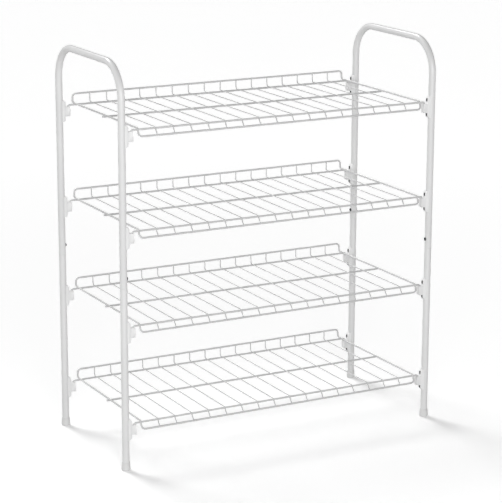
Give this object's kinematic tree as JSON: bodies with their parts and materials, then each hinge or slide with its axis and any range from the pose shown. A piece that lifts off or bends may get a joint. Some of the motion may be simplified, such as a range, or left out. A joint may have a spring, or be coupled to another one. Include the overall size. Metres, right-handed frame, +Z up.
{
  "type": "tiered shoe rack",
  "caption": "Free-standing white steel shoe rack: arched tube end frames, moulded clips and lift-out wire shelves with a raised back lip and a dropped front edge.",
  "frame": {"origin": "on the floor, midway between the axes of the four posts", "axes": "+X along the shelves to the right as seen from the front, +Y to the back (the side with the raised lips), +Z up"},
  "size_m": [0.6434, 0.2912, 0.73],
  "materials": {
    "frame_coat": "white powder coat, satin, over bent steel tube",
    "wire_coat": "white powder coat, satin, over welded steel wire",
    "clip_plastic": "white moulded plastic, fine matt texture",
    "foot_plastic": "white moulded plastic, fine matt texture",
    "screw_steel": "dark zinc-plated steel"
  },
  "bodies": {
    "frame": {"left_hoop": "frame_coat", "right_hoop": "frame_coat", "left_front_leg": "frame_coat", "left_front_foot": "foot_plastic", "left_rear_leg": "frame_coat", "left_rear_foot": "foot_plastic", "right_front_leg": "frame_coat", "right_front_foot": "foot_plastic", "right_rear_leg": "frame_coat", "right_rear_foot": "foot_plastic", "frame_screws": "screw_steel", "bottom_left_front_clip": "clip_plastic", "bottom_left_rear_clip": "clip_plastic", "bottom_right_front_clip": "clip_plastic", "bottom_right_rear_clip": "clip_plastic", "lower_left_front_clip": "clip_plastic", "lower_left_rear_clip": "clip_plastic", "lower_right_front_clip": "clip_plastic", "lower_right_rear_clip": "clip_plastic", "upper_left_front_clip": "clip_plastic", "upper_left_rear_clip": "clip_plastic", "upper_right_front_clip": "clip_plastic", "upper_right_rear_clip": "clip_plastic", "top_left_front_clip": "clip_plastic", "top_left_rear_clip": "clip_plastic", "top_right_front_clip": "clip_plastic", "top_right_rear_clip": "clip_plastic"},
    "bottom_shelf": {"bottom_perimeter_wire": "wire_coat", "bottom_rear_rail": "wire_coat", "bottom_front_rail": "wire_coat", "bottom_middle_rail": "wire_coat", "bottom_cross_wires": "wire_coat"},
    "lower_shelf": {"lower_perimeter_wire": "wire_coat", "lower_rear_rail": "wire_coat", "lower_front_rail": "wire_coat", "lower_middle_rail": "wire_coat", "lower_cross_wires": "wire_coat"},
    "upper_shelf": {"upper_perimeter_wire": "wire_coat", "upper_rear_rail": "wire_coat", "upper_front_rail": "wire_coat", "upper_middle_rail": "wire_coat", "upper_cross_wires": "wire_coat"},
    "top_shelf": {"top_perimeter_wire": "wire_coat", "top_rear_rail": "wire_coat", "top_front_rail": "wire_coat", "top_middle_rail": "wire_coat", "top_cross_wires": "wire_coat"}
  },
  "joints": [
    {"name": "bottom_shelf_lift", "type": "slide", "parent": "frame", "child": "bottom_shelf", "axis": [0, 0, 1], "range_m": [0, 0.02]},
    {"name": "lower_shelf_lift", "type": "slide", "parent": "frame", "child": "lower_shelf", "axis": [0, 0, 1], "range_m": [0, 0.02]},
    {"name": "upper_shelf_lift", "type": "slide", "parent": "frame", "child": "upper_shelf", "axis": [0, 0, 1], "range_m": [0, 0.02]},
    {"name": "top_shelf_lift", "type": "slide", "parent": "frame", "child": "top_shelf", "axis": [0, 0, 1], "range_m": [0, 0.02]}
  ]
}
